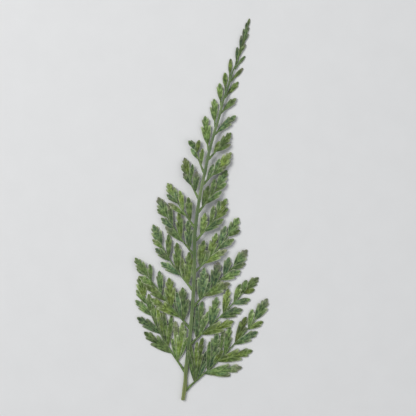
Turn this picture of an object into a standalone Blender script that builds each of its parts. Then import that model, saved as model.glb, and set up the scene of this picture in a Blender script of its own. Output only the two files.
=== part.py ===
"""A picked fern frond lying on a table: a slender green stalk with finely cut side branches.

Each side branch (a pinna) is a thin, leafy rib with wedge-shaped, toothed leaflets.
The frond lies along Y with its tip at +Y and its upper face towards +Z, and rests on Z = 0.
Lengths in the tables are millimetres and angles are degrees; the meshes are in metres.
"""
import math
from collections import namedtuple

import bmesh
import bpy
from mathutils import Matrix, Vector
from mathutils.geometry import delaunay_2d_cdt

MM = 0.001

# Stalk
CUT_END_Y = -114.5
STALK_TOP_Y = 86.0
FROND_TOP_Y = 114.5
STALK_RADIUS = 1.2
STALK_TAPER = 0.85
STALK_TAPER_POWER = 1.3
STALK_SIDES = 8
STALK_STEP = 8.0
REST_END_Y = -102.0
ARCH_HEIGHT = 4.6
SMOOTH_SHADING_ANGLE = 40

# Side branches
GAP = 0.3
RIB_HALF_WIDTH = 0.5
RIB_TIP_HALF_WIDTH = 0.3
RIB_STEP = 6.0
BLADE_THICKNESS = 0.45
LOWEST_BLADE = 0.6
DROOP = 0.12
DROOP_POWER = 1.5
LIFT_POWER = 1.3
LIFT_SPREAD = 0.7
RIB_SAMPLES = 40
MERGE_DISTANCE = 0.005

# Leaflet outline, as fractions of its length and width
FOOT_WIDTH = 0.14
FOOT_LIMIT = 0.35
WEDGE_PLACE = 0.42
WEDGE_SPREAD = 0.3
TOOTH_FALL = 0.42
TOOTH_FALL_POWER = 1.8
TOOTH_SPREAD = 0.62
NOTCH_DEPTH = 0.1
TOOTH_BLUNTNESS = 0.26
TOOTH_SLOPE = 0.16

# Outline of a leaflet without teeth, as fractions of its length and half width
FINGER_WEDGE_SPREAD = 0.8
FINGER_WIDEST = 0.72
FINGER_END = 0.97
FINGER_END_SPREAD = 0.35
FINGER_TIP_SPREAD = 0.2

# The stalk's centre line: how far it wanders in X at each Y
STALK_LINE = [
    (-11.1, -114.5), (-9.9, -105.8), (-9.3, -96.8), (-8.7, -90.8), (-7.5, -81.8), (-6.3, -69.8),
    (-5.1, -54.8), (-4.2, -36.8), (-4.1, -24.8), (-3.8, -14.0), (-2.4, -2.0), (-0.6, 9.4),
    (2.1, 22.0), (4.9, 35.2), (8.1, 46.6), (10.9, 56.2), (13.1, 65.2), (15.9, 73.0),
    (18.7, 82.0), (21.5, 89.2), (23.8, 96.4), (26.5, 104.2), (29.3, 114.5),
]

# A pinna leaves the stalk at stalk_y. Its rib leans away from the stalk's direction (+Y) by
# lean_base at its foot and lean_tip at its end. low is the height of its tip, where it is held
# off the table by the pinna below it.
Pinna = namedtuple("Pinna", "stalk_y length lean_base lean_tip leaflets low", defaults=[None])

# A leaflet grows at a place along the rib and leans from the rib: away from the stalk's tip when
# positive, towards it when negative. lift raises its end above the rib.
Leaflet = namedtuple("Leaflet", "place lean length width teeth lift", defaults=[0.0])

RIGHT_PINNAE = [
    Pinna(-107.6, 73, 51.5, 35, [
        Leaflet(6, -62, 20.0, 2.4, 1, 2.4),
        Leaflet(6, -55, 23.2, 2.7, 1, 1.8),
        Leaflet(6.2, -47, 24.4, 3.2, 2, 1.4),
        Leaflet(6.5, -41, 27, 5.2, 4, 1.0),
        Leaflet(9, -32, 18, 5.0, 4),
        Leaflet(14, 34, 22.8, 7.2, 5),
        Leaflet(15, 48.5, 14.8, 2.8, 1),
        Leaflet(16.4, -43, 17.6, 2.6, 1),
        Leaflet(16.8, -32, 23.0, 8.4, 5),
        Leaflet(20, -14.5, 12, 3.2, 1),
        Leaflet(24.7, 27, 22, 7.4, 5),
        Leaflet(24.8, -34, 18.2, 3.2, 2, -0.3),
        Leaflet(30.6, -33, 17.2, 5.4, 4, -0.6),
        Leaflet(39, 21, 16, 5.6, 4),
        Leaflet(40, -21, 17, 5.6, 4),
        Leaflet(51, 25, 10.5, 4.2, 2),
        Leaflet(52, -28, 11.5, 4.2, 2),
        Leaflet(58.5, -8.5, 14.5, 6.9, 5),
    ]),
    Pinna(-80.3, 57, 50.5, 38, [
        Leaflet(4.3, -57, 12.7, 2.2, 1),
        Leaflet(4.5, -49.5, 20.0, 2.6, 1, 0.4),
        Leaflet(4.3, -40, 22.5, 5.9, 4),
        Leaflet(6, -28, 16.3, 4.4, 3),
        Leaflet(8, 20, 21, 7.2, 5, 0.5),
        Leaflet(15.3, -33.5, 18, 6.8, 5),
        Leaflet(23, 25, 14.6, 6.0, 4),
        Leaflet(26.3, -33, 15, 5.4, 4),
        Leaflet(34.2, 32, 11, 4.6, 2),
        Leaflet(35.4, -25, 11.7, 4.4, 2),
        Leaflet(42, -21, 9, 3.4, 1),
        Leaflet(43, 32, 7.6, 3.2, 1),
        Leaflet(46, 9, 10.4, 5.4, 4),
    ]),
    Pinna(-57.2, 46, 48, 42, [
        Leaflet(4.5, -55, 12, 2.2, 1),
        Leaflet(4.5, -39, 19.4, 6.8, 5),
        Leaflet(6.5, -33, 14.5, 2.8, 1),
        Leaflet(6.5, -18, 10.4, 3.0, 1),
        Leaflet(7.5, 16, 17.6, 6.7, 4),
        Leaflet(14.6, -32, 16, 6.4, 5),
        Leaflet(21.7, 23, 13, 5.6, 4),
        Leaflet(24.4, -29, 12, 4.8, 3),
        Leaflet(30, 23, 9.8, 3.8, 2),
        Leaflet(33, -3, 12.6, 6.4, 5),
    ]),
    Pinna(-36.5, 41, 50, 30, [
        Leaflet(3.2, -55, 10.5, 2.2, 1),
        Leaflet(3.2, -41, 16, 5.6, 4),
        Leaflet(5, -20, 9.4, 3.0, 1),
        Leaflet(6.2, 15, 16, 5.2, 4),
        Leaflet(10, -27, 16.2, 5.6, 5),
        Leaflet(18, 19, 11.6, 4.4, 3),
        Leaflet(18.9, -22, 13.8, 4.4, 3),
        Leaflet(27.8, 26, 8.2, 3.4, 2),
        Leaflet(28.5, -5, 12.2, 6.2, 5),
    ]),
    Pinna(-18.2, 30.5, 47, 28, [
        Leaflet(3.9, -32, 13.4, 5.0, 4),
        Leaflet(6.8, 15, 13.7, 4.8, 4),
        Leaflet(11.9, -27, 11.8, 3.6, 2),
        Leaflet(16, 17, 10.7, 3.8, 2),
        Leaflet(18.7, -6, 12, 4.8, 4),
        Leaflet(19.4, -27, 8.5, 2.5, 1),
    ]),
    Pinna(-1.1, 30, 43, 27, [
        Leaflet(3, -24, 13.2, 4.8, 3),
        Leaflet(5.5, 14, 12.4, 3.8, 2),
        Leaflet(10.4, -25, 11.6, 3.8, 2),
        Leaflet(14.8, 21, 8.7, 2.8, 1),
        Leaflet(17.5, -4, 12.2, 5.4, 5, -0.5),
    ]),
    Pinna(15.2, 25, 46, 38, [
        Leaflet(2.8, -24, 10.3, 3.4, 2),
        Leaflet(7, 17, 9.9, 3.2, 2),
        Leaflet(8.7, -23, 9.2, 3.0, 2),
        Leaflet(13, -2, 12, 5.8, 5),
        Leaflet(13.4, 22, 7.4, 2.6, 1),
    ]),
    Pinna(30.1, 20.5, 46, 36, [
        Leaflet(4.3, -21, 8, 3.4, 2),
        Leaflet(5.7, 19, 10, 2.5, 1),
        Leaflet(8.7, -2, 11.8, 5.4, 5),
    ]),
    Pinna(45.0, 4, 49, 49, [Leaflet(1.2, 0, 15.2, 5.0, 4)]),
    Pinna(57.7, 3.5, 45, 45, [Leaflet(1.6, 0, 10.8, 4.0, 3)]),
    Pinna(67.0, 4, 41, 41, [Leaflet(1.8, 0, 10.3, 3.5, 3)]),
    Pinna(76.7, 4, 45, 45, [Leaflet(1.6, 0, 9.0, 2.1, 1)]),
    Pinna(84.2, 4, 39, 38, [Leaflet(1.8, 0, 7.8, 1.7, 1)]),
]

LEFT_PINNAE = [
    Pinna(-96.4, 59, 38, 16, [
        Leaflet(6.2, -20, 14.2, 2.6, 1),
        Leaflet(6.2, -32, 24.4, 3.4, 2, 0.2),
        Leaflet(6.3, -42.5, 23.8, 5.4, 4, 0.4),
        Leaflet(6.5, -58, 15.5, 2.6, 1, 0.6),
        Leaflet(6.4, -51, 20.5, 2.6, 1, 0.5),
        Leaflet(12.3, 21, 21, 7.2, 5),
        Leaflet(17, -37, 19, 4.5, 4),
        Leaflet(18, -25, 20.3, 2.7, 1),
        Leaflet(21.5, -22.5, 16.7, 4.3, 3),
        Leaflet(24.5, -20, 18.6, 2.6, 1),
        Leaflet(26, 26, 17, 6.0, 5),
        Leaflet(31, -15, 13.5, 4.2, 3, -0.3),
        Leaflet(38, 24, 13.3, 5.0, 4),
        Leaflet(40, -18, 11.2, 4.0, 3, -0.5),
        Leaflet(45.5, 16, 10.5, 3.8, 3),
        Leaflet(49.5, -6, 13.5, 6.0, 5, -0.5),
    ]),
    Pinna(-70.6, 52, 43, 32.5, [
        Leaflet(5, -57, 12.8, 2.5, 1),
        Leaflet(5, -42, 20, 7.2, 5),
        Leaflet(7, -32, 16, 2.9, 1),
        Leaflet(7, -20, 10.5, 2.6, 1),
        Leaflet(7.7, 15, 21.3, 6.6, 5),
        Leaflet(16, -35.5, 17.6, 7.2, 5),
        Leaflet(17.5, -17, 9, 2.6, 1),
        Leaflet(20.8, 16, 15.6, 5.4, 4),
        Leaflet(25.8, -33, 14, 4.4, 3),
        Leaflet(32, 23, 10.8, 4.6, 3),
        Leaflet(35.9, -33, 9.9, 3.4, 2),
        Leaflet(40, 24, 7.2, 2.8, 1),
        Leaflet(39.5, -2, 13, 5.6, 5),
    ], 2.1),
    Pinna(-47.4, 44, 43.5, 22, [
        Leaflet(3.5, -54, 12, 2.4, 1),
        Leaflet(3.5, -43, 19.2, 6.0, 4),
        Leaflet(5.3, -31, 15.0, 3.0, 1),
        Leaflet(5.5, -22, 11.0, 2.4, 1),
        Leaflet(10.6, 19, 14, 5.2, 4),
        Leaflet(13, -35.5, 17.4, 5.4, 4),
        Leaflet(21, 19, 11.6, 4.8, 4),
        Leaflet(22.9, -34, 14.2, 4.1, 3),
        Leaflet(29.8, 21, 8, 3.6, 3),
        Leaflet(31.8, -8, 13.2, 6.4, 5),
    ]),
    Pinna(-26.3, 38.7, 43, 21.5, [
        Leaflet(3.1, -39, 17.2, 5.8, 5),
        Leaflet(8.7, 13, 14.2, 4.8, 3),
        Leaflet(11.3, -32, 15.8, 5.0, 4),
        Leaflet(17.3, 16, 11.2, 4.0, 3),
        Leaflet(20.2, -23, 13.3, 3.8, 2),
        Leaflet(26.6, 25, 7.6, 3.2, 2),
        Leaflet(26.8, -3, 12.8, 6.2, 5),
    ]),
    Pinna(-10.2, 30, 40, 24, [
        Leaflet(3.9, -33, 14.2, 4.8, 3),
        Leaflet(7.7, 19, 13.2, 3.6, 2),
        Leaflet(10.8, -26, 12.8, 3.8, 3),
        Leaflet(17, 24, 8.4, 3.4, 2),
        Leaflet(17.5, -23, 8, 2.2, 1),
        Leaflet(19.6, -4, 10.8, 5.6, 5),
    ]),
    Pinna(6.8, 25.5, 32, 6, [
        Leaflet(3.8, -32, 12.4, 4.4, 3),
        Leaflet(8.2, 13, 9, 3.3, 3),
        Leaflet(10.5, -30, 10.6, 3.2, 2),
        Leaflet(14, 16, 7.8, 3.0, 2),
        Leaflet(15, -6, 10.5, 4.9, 4),
    ]),
    Pinna(22.0, 16, 24, 17, [
        Leaflet(4.3, -28, 10.2, 3.2, 2),
        Leaflet(8.2, 15, 8, 2.5, 1),
        Leaflet(12, -30, 8.2, 2.8, 1),
        Leaflet(12, 4, 9.4, 3.8, 3),
    ]),
    Pinna(35.0, 5.5, 9, 5, [Leaflet(3.4, 0, 17.4, 6.3, 5)]),
    Pinna(49.0, 5.5, 4, 2, [Leaflet(3.4, 0, 13.6, 5.1, 4)]),
    Pinna(61.8, 5, 5, 3, [Leaflet(3.2, 0, 10.4, 4.1, 3)]),
    Pinna(70.2, 4.5, 2, 1, [Leaflet(2.4, 0, 9.1, 2.7, 1)]),
    Pinna(77.4, 5, -3, -5, [Leaflet(3.0, 0, 9.6, 2.2, 1)]),
]

# Above STALK_TOP_Y the branches run together into one lobed tip.
TIP_START_Y = 86.7
FROND_TIP = Pinna(TIP_START_Y, 26.5, 19, 15, [
    Leaflet(1.3, -17, 9.0, 1.6, 1),
    Leaflet(3.5, 1, 9.0, 2.0, 1),
    Leaflet(6.4, 18, 7.0, 1.4, 1),
    Leaflet(8.8, -15, 8.9, 1.6, 1),
    Leaflet(10, 1, 8.0, 2.1, 1),
    Leaflet(13.2, 15, 6.6, 1.4, 1),
    Leaflet(14.8, -12, 7.2, 1.6, 1),
    Leaflet(16, 1, 7.2, 1.9, 1),
    Leaflet(18.8, 11, 4.8, 1.4, 1),
    Leaflet(20.6, -12, 5.3, 1.5, 1),
    Leaflet(22.6, 0, 6, 1.5, 1),
])

STALK_COLOR = (0.19, 0.21, 0.075)
LOW_PINNA_COLOR = (0.15, 0.22, 0.075)
HIGH_PINNA_COLOR = (0.12, 0.18, 0.08)
ROUGHNESS = 0.6


def remove_everything():
    """Clear the scene, so that only the frond is in it."""
    for thing in list(bpy.data.objects):
        bpy.data.objects.remove(thing)


def stalk_fraction(y):
    """How far up the whole frond Y is, from 0 at the cut end to 1 at the tip."""
    return (y - CUT_END_Y) / (FROND_TOP_Y - CUT_END_Y)


def stalk_radius(y):
    return STALK_RADIUS - STALK_TAPER * stalk_fraction(y) ** STALK_TAPER_POWER


def stalk_point(y):
    """The centre of the stalk at Y: its wandering line, arched up off the table."""
    knots = STALK_LINE
    i = max(k for k in range(len(knots) - 1) if knots[k][1] <= y or k == 0)
    (x0, y0), (x1, y1) = knots[i], knots[i + 1]
    slope = [0.0, 0.0]
    for side, k in ((0, i), (1, i + 1)):
        before, after = knots[max(k - 1, 0)], knots[min(k + 1, len(knots) - 1)]
        slope[side] = (after[0] - before[0]) / (after[1] - before[1])
    t = (y - y0) / (y1 - y0)
    step = y1 - y0
    x = (
        (2 * t ** 3 - 3 * t ** 2 + 1) * x0
        + (t ** 3 - 2 * t ** 2 + t) * step * slope[0]
        + (3 * t ** 2 - 2 * t ** 3) * x1
        + (t ** 3 - t ** 2) * step * slope[1]
    )
    resting = stalk_radius(y) * math.cos(math.pi / STALK_SIDES)
    raised = max(0.0, (y - REST_END_Y) / (FROND_TOP_Y - REST_END_Y))
    return Vector((x, y, resting + ARCH_HEIGHT * math.sin(math.pi * raised) ** 2))


def green(y):
    """The leaf colour at a height on the frond: yellower low down, bluer towards the tip."""
    t = stalk_fraction(y)
    return [low + (high - low) * t for low, high in zip(LOW_PINNA_COLOR, HIGH_PINNA_COLOR)]


def add_object(name, bm, color):
    """Turn a millimetre bmesh into a named, coloured object in metres."""
    bmesh.ops.scale(bm, vec=(MM, MM, MM), verts=bm.verts)
    bmesh.ops.recalc_face_normals(bm, faces=bm.faces)
    mesh = bpy.data.meshes.new(name)
    bm.to_mesh(mesh)
    bm.free()
    mesh.shade_smooth()
    mesh.set_sharp_from_angle(angle=math.radians(SMOOTH_SHADING_ANGLE))
    material = bpy.data.materials.new(name)
    material.use_nodes = True
    shader = material.node_tree.nodes["Principled BSDF"]
    shader.inputs["Base Color"].default_value = (*color, 1.0)
    shader.inputs["Roughness"].default_value = ROUGHNESS
    shader.inputs["Metallic"].default_value = 0.0
    mesh.materials.append(material)
    thing = bpy.data.objects.new(name, mesh)
    bpy.context.collection.objects.link(thing)
    return thing


def build_stalk():
    """The stalk: a tapered eight-sided rod, one flat side down, cut off at its foot."""
    bm = bmesh.new()
    steps = round((STALK_TOP_Y - CUT_END_Y) / STALK_STEP)
    previous = None
    for i in range(steps + 1):
        y = CUT_END_Y + (STALK_TOP_Y - CUT_END_Y) * i / steps
        across = math.pi / STALK_SIDES
        turn = Matrix.Rotation(math.pi / 2, 4, "X") @ Matrix.Rotation(across, 4, "Z")
        place = Matrix.Translation(stalk_point(y)) @ turn
        ring = bmesh.ops.create_circle(bm, segments=STALK_SIDES, radius=stalk_radius(y), matrix=place)
        edges = list({edge for vert in ring["verts"] for edge in vert.link_edges})
        if previous:
            bmesh.ops.bridge_loops(bm, edges=previous + edges)
        else:
            foot = edges
        previous = edges
    bmesh.ops.edgeloop_fill(bm, edges=foot)
    bmesh.ops.edgeloop_fill(bm, edges=previous)
    return add_object("stalk", bm, STALK_COLOR)


def direction(lean, side):
    """The flat direction that leans from +Y towards the side (+1 right, -1 left)."""
    return Vector((side * math.sin(math.radians(lean)), math.cos(math.radians(lean))))


def rib_lean(pinna, place):
    return pinna.lean_base + (pinna.lean_tip - pinna.lean_base) * place / pinna.length


def rib_point(pinna, start, side, place):
    """A point along the rib, which is an arc: a chord leans halfway between its two ends."""
    turn = math.radians(rib_lean(pinna, place) - pinna.lean_base) / 2
    chord = place * (math.sin(turn) / turn if turn else 1.0)
    return start + chord * direction(pinna.lean_base + math.degrees(turn), side)


def rib_outline(pinna, start, side, first_place):
    """The narrow, tapering strip that a pinna's leaflets grow from."""
    left, right = [], []
    steps = max(1, round(pinna.length / RIB_STEP))
    for i in range(steps + 1):
        place = first_place + (pinna.length - first_place) * i / steps
        half = RIB_HALF_WIDTH + (RIB_TIP_HALF_WIDTH - RIB_HALF_WIDTH) * i / steps
        point = rib_point(pinna, start, side, place)
        across = half * direction(rib_lean(pinna, place) + 90, side)
        left.append(point - across)
        right.append(point + across)
    return left + right[::-1]


def leaflet_outline(leaflet):
    """A wedge-shaped leaflet around its own axis: (along, across) from its foot to its teeth."""
    length, width, teeth = leaflet.length, leaflet.width, leaflet.teeth
    foot = min(FOOT_LIMIT, FOOT_WIDTH * width)
    tips = []
    for k in range(teeth):
        spread = (2 * k + 1) / teeth - 1
        along = length * (1 - TOOTH_FALL * abs(spread) ** TOOTH_FALL_POWER)
        tips.append((along, TOOTH_SPREAD * width * spread))
    blunt = TOOTH_BLUNTNESS * width / teeth
    wedge = WEDGE_PLACE * length
    if teeth == 1:
        half = width / 2
        widest = FINGER_WIDEST * length
        return [
            (0, -foot),
            (wedge, -FINGER_WEDGE_SPREAD * half),
            (widest, -half),
            (FINGER_END * length, -FINGER_END_SPREAD * half),
            (length, FINGER_TIP_SPREAD * half),
            (widest, half),
            (wedge, FINGER_WEDGE_SPREAD * half),
            (0, foot),
        ]
    points = [(0, -foot), (wedge, -WEDGE_SPREAD * width)]
    for k, (along, across) in enumerate(tips):
        if k:
            before = tips[k - 1]
            notch = (along + before[0]) / 2 - NOTCH_DEPTH * length
            points.append((notch, (across + before[1]) / 2))
        slope = TOOTH_SLOPE * length * across / width
        points.append((along + min(slope, 0), across - blunt))
        points.append((along - max(slope, 0), across + blunt))
    points.append((wedge, WEDGE_SPREAD * width))
    points.append((0, foot))
    return points


def leaflet_place(pinna, start, side, leaflet):
    """Where a leaflet's foot is, and the directions along and across it."""
    lean = rib_lean(pinna, leaflet.place) + leaflet.lean
    foot = rib_point(pinna, start, side, leaflet.place)
    return foot, direction(lean, side), direction(lean + 90, side)


def nearest_place(pinna, start, side, point):
    """The place along the rib that is nearest to a point."""
    places = [pinna.length * i / RIB_SAMPLES for i in range(RIB_SAMPLES + 1)]
    return min(places, key=lambda place: (rib_point(pinna, start, side, place) - point).length)


def blade_height(pinna, start, side, foot_height, point):
    """The height of the blade's middle over the table, with the rib drooping to its tip."""
    low = pinna.low
    if low is None:
        reach = pinna.length + pinna.leaflets[-1].length
        low = max(LOWEST_BLADE, foot_height - DROOP * reach)
    place = nearest_place(pinna, start, side, point)
    height = foot_height + (low - foot_height) * (place / pinna.length) ** DROOP_POWER
    for leaflet in pinna.leaflets:
        if leaflet.lift:
            foot, along, across = leaflet_place(pinna, start, side, leaflet)
            reach = (point - foot).dot(along) / leaflet.length
            if 0 < reach and abs((point - foot).dot(across)) < LIFT_SPREAD * leaflet.width:
                height += leaflet.lift * min(reach, 1.0) ** LIFT_POWER
    return max(height, LOWEST_BLADE)


def build_pinna(name, pinna, start, side, foot_height, first_place):
    """One side branch: rib and leaflets merged into one thin, drooping body."""
    outlines = [rib_outline(pinna, start, side, first_place)]
    for leaflet in pinna.leaflets:
        foot, along, across = leaflet_place(pinna, start, side, leaflet)
        outlines.append([foot + u * along + v * across for u, v in leaflet_outline(leaflet)])
    points = [point for outline in outlines for point in outline]
    loops = []
    for outline in outlines:
        first = sum(len(loop) for loop in loops)
        loop = list(range(first, first + len(outline)))
        loops.append(loop[::-1] if side > 0 else loop)
    merged = delaunay_2d_cdt(points, [], loops, 1, MERGE_DISTANCE, True)
    flat_points, triangles, owners = merged[0], merged[2], merged[5]

    bm = bmesh.new()
    verts = []
    for point in flat_points:
        height = blade_height(pinna, start, side, foot_height, point)
        verts.append(bm.verts.new((point.x, point.y, height - BLADE_THICKNESS / 2)))
    for triangle, owner in zip(triangles, owners):
        if owner:
            bm.faces.new([verts[i] for i in triangle])
    loose = [vert for vert in bm.verts if not vert.link_faces]
    bmesh.ops.delete(bm, geom=loose, context="VERTS")
    bmesh.ops.recalc_face_normals(bm, faces=bm.faces)
    shell = bmesh.ops.extrude_face_region(bm, geom=bm.faces[:] + bm.edges[:] + bm.verts[:])
    raised = [item for item in shell["geom"] if isinstance(item, bmesh.types.BMVert)]
    bmesh.ops.translate(bm, verts=raised, vec=(0, 0, BLADE_THICKNESS))
    return add_object(name, bm, green(pinna.stalk_y))


def build_pinnae():
    for label, side, pinnae in (("left", -1, LEFT_PINNAE), ("right", 1, RIGHT_PINNAE)):
        for number, pinna in enumerate(pinnae, 1):
            centre = stalk_point(pinna.stalk_y)
            ahead = stalk_point(pinna.stalk_y + 1) - centre
            stalk_lean = side * math.atan2(ahead.x, ahead.y)
            angle = math.radians(pinna.lean_base) - stalk_lean
            first_place = (GAP + RIB_HALF_WIDTH * math.cos(angle)) / math.sin(angle)
            edge = stalk_radius(pinna.stalk_y) / math.cos(stalk_lean)
            start = Vector((centre.x + side * edge, centre.y))
            name = f"pinna_{label}_{number:02d}"
            build_pinna(name, pinna, start, side, centre.z, first_place)


def build_frond_tip():
    centre = stalk_point(TIP_START_Y)
    build_pinna("frond_tip", FROND_TIP, Vector((centre.x, centre.y)), 1, centre.z, 0.0)


def centre_on_origin():
    """Move every mesh in X and Y, so that the middle of the frond's box is over the origin."""
    frond = [thing.data for thing in bpy.data.objects]
    corners = [vert.co for mesh in frond for vert in mesh.vertices]
    middle = [(min(c[k] for c in corners) + max(c[k] for c in corners)) / 2 for k in (0, 1)]
    for mesh in frond:
        mesh.transform(Matrix.Translation((-middle[0], -middle[1], 0)))


remove_everything()
build_stalk()
build_pinnae()
build_frond_tip()
centre_on_origin()
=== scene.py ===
"""A picked fern frond lying on a table, seen from straight above.

It is put together as it grows: the stalk first, then the side branches from the foot up with
their ribs and toothed leaflets, then the lobed tip. Lengths are millimetres until a piece is
made, when it is scaled to metres and moved to the frond's place in the frame.
"""

import math
import random
from collections import namedtuple

import bmesh
import bpy
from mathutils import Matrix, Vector


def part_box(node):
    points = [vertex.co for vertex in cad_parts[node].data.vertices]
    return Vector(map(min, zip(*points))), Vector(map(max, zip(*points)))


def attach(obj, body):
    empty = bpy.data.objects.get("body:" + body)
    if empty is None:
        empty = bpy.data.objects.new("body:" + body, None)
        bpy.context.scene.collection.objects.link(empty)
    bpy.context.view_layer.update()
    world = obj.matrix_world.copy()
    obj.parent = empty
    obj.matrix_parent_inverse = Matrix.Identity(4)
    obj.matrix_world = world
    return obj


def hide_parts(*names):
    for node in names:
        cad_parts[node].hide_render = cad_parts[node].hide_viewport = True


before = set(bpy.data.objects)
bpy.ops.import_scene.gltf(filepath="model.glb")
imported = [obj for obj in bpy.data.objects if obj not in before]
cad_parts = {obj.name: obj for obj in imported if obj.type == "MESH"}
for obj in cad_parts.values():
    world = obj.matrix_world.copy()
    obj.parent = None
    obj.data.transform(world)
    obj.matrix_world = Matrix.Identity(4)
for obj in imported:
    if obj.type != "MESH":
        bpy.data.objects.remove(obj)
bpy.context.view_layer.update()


# --- Stalk -----------------------------------------------------------------------------------
# The green stalk of the frond, as thick as a match at its cut foot and a thread at its tip.
# It is round below, has a groove along its upper side and swells a little where branches leave.
# It is a row of rings joined into one rod, with a paler face of cut fibres at its foot.

MM = 0.001
CUT_END_Y = -114.5
STALK_TOP_Y = 86.0
FROND_TOP_Y = 114.5
STALK_RADIUS = 1.2
STALK_TAPER = 0.85
# Over 1, so that the stalk thins slowly at first
STALK_TAPER_POWER = 1.3
# The stalk swells by this share at a branch, within about this many millimetres of it
STALK_SWELLING = 0.16
STALK_SWELLING_REACH = 2.0
# The rod drawn here, as a share of the radius that the branches start from: it gains upwards
SKIN_RADIUS = 0.93
SKIN_RADIUS_GAIN = 0.32
# The stalk's last millimetres taper to a thread inside the leafy tip
SKIN_END_SHARE = 0.45
SKIN_END_LENGTH = 14.0
# The foot lies flat on the table up to here, and from here on the stalk arches off it
REST_END_Y = -102.0
ARCH_HEIGHT = 4.6
# The CAD stalk is eight-sided and lies on a flat: its centre is this share of its radius up
FLAT_SHARE = math.cos(math.pi / 8)
RING_SIDES = 16
RING_STEP = 1.5
# The rod's height as a share of its width; its groove's depth and width are shares of them too
STALK_FLATNESS = 0.96
FOOT_FLATNESS = 0.94
STALK_GROOVE_DEPTH = 0.34
FOOT_GROOVE_DEPTH = 0.15
GROOVE_HALF_WIDTH = 0.5
# How far to each side of a point the stalk's direction there is taken from
DIRECTION_REACH = 0.5
# The paler colour of the foot fades out over this length
FOOT_FADE_LENGTH = 26.0
STALK_TINT = (0.5, 0.5, 0.0, 1.0)
# No part of the stalk is lower than this, so that it only just lies on the table
STALK_LOWEST_Z = 0.02
# The cut face is sunk inside a rim of skin
CUT_RIM = 0.14
CUT_DEPTH = 0.1
# Edges that turn by more degrees than this stay sharp
SHARP_ANGLE = 50

# The stalk's centre line: how far it wanders in X at each Y
STALK_LINE = [
    (-11.1, -114.5), (-9.9, -105.8), (-9.3, -96.8), (-8.7, -90.8), (-7.5, -81.8), (-6.3, -69.8),
    (-5.1, -54.8), (-4.2, -36.8), (-4.1, -24.8), (-3.8, -14.0), (-2.4, -2.0), (-0.6, 9.4),
    (2.1, 22.0), (4.9, 35.2), (8.1, 46.6), (10.9, 56.2), (13.1, 65.2), (15.9, 73.0),
    (18.7, 82.0), (21.5, 89.2), (23.8, 96.4), (26.5, 104.2), (29.3, 114.5),
]

# Where the branches leave the stalk
JOINT_YS = (
    -107.6, -96.4, -80.3, -70.6, -57.2, -47.4, -36.5, -26.3, -18.2, -10.2, -1.1, 6.8, 15.2,
    22.0, 30.1, 35.0, 45.0, 49.0, 57.7, 61.8, 67.0, 70.2, 76.7, 77.4, 84.2,
)


def stalk_fraction(y):
    """How far up the whole frond Y is, from 0 at the cut end to 1 at the tip."""
    return (y - CUT_END_Y) / (FROND_TOP_Y - CUT_END_Y)


def stalk_radius(y):
    return STALK_RADIUS - STALK_TAPER * stalk_fraction(y) ** STALK_TAPER_POWER


def smooth_between(t, gap, here, way_here, there, way_there):
    """Where a smooth curve is at t, from 0 to 1, that leaves and arrives in the given ways."""
    return (
        (2 * t ** 3 - 3 * t ** 2 + 1) * here + (t ** 3 - 2 * t ** 2 + t) * gap * way_here
        + (3 * t ** 2 - 2 * t ** 3) * there + (t ** 3 - t ** 2) * gap * way_there
    )


def stalk_point(y):
    """The centre of the stalk at Y: its wandering line, arched up off the table."""
    knots = STALK_LINE
    i = max(k for k in range(len(knots) - 1) if knots[k][1] <= y or k == 0)
    (x0, y0), (x1, y1) = knots[i], knots[i + 1]
    slope = [0.0, 0.0]
    for end, k in ((0, i), (1, i + 1)):
        before, after = knots[max(k - 1, 0)], knots[min(k + 1, len(knots) - 1)]
        slope[end] = (after[0] - before[0]) / (after[1] - before[1])
    gap = y1 - y0
    x = smooth_between((y - y0) / gap, gap, x0, slope[0], x1, slope[1])
    resting = stalk_radius(y) * FLAT_SHARE
    raised = max(0.0, (y - REST_END_Y) / (FROND_TOP_Y - REST_END_Y))
    return Vector((x, y, resting + ARCH_HEIGHT * math.sin(math.pi * raised) ** 2))


# The frame holds the frond with the middle of its box over the origin: this is that shift
stalk_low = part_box("stalk")[0]
foot_corner = (STALK_LINE[0][0] - STALK_RADIUS * FLAT_SHARE, CUT_END_Y)
FRAME_SHIFT = Vector((stalk_low[0] - foot_corner[0] * MM, stalk_low[1] - foot_corner[1] * MM, 0))


def start_mesh():
    """An empty bmesh in millimetres, with the layers that the green materials read."""
    bm = bmesh.new()
    bm.loops.layers.uv.new("vein")
    bm.verts.layers.float_color.new("tint")
    bm.verts.layers.float_color.new("place")
    return bm


def each_once(items):
    """The items without repeats and in their order, so that every run gives the same mesh."""
    return list(dict.fromkeys(items))


def ring(bm, centre, along, half_width, half_height, groove):
    """One cross-section of a rod: an oval with a groove sunk in its top. Returns its edges."""
    along = along.normalized()
    across = along.cross(Vector((0, 0, 1))).normalized()
    up = across.cross(along)
    circle = bmesh.ops.create_circle(bm, segments=RING_SIDES, radius=1.0)["verts"]
    place_layer = bm.verts.layers.float_color["place"]
    for vert in circle:
        x, y = vert.co.x, vert.co.y
        sunk = max(0.0, 1 - (x / GROOVE_HALF_WIDTH) ** 2) if y > 0 else 0.0
        vert.co = centre + across * half_width * x + up * half_height * (y - groove * sunk)
        # The sunk share is kept on the mesh, where the stalk's finish paints shade in the groove
        vert[place_layer] = (0.0, sunk, 0.0, 1.0)
    return each_once(edge for vert in circle for edge in vert.link_edges)


def rod(bm, stations, tint):
    """A closed rod through (centre, along, half_width, half_height, groove) stations.

    Returns the two faces that close it.
    """
    first_new = len(bm.verts)
    loops = [ring(bm, *station) for station in stations]
    for loop, following in zip(loops, loops[1:]):
        bmesh.ops.bridge_loops(bm, edges=loop + following)
    caps = []
    for loop in (loops[0], loops[-1]):
        caps += bmesh.ops.edgeloop_fill(bm, edges=loop)["faces"]
    bm.verts.ensure_lookup_table()
    tint_layer = bm.verts.layers.float_color["tint"]
    for vert in bm.verts[first_new:]:
        vert[tint_layer] = tint
    return caps


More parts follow.
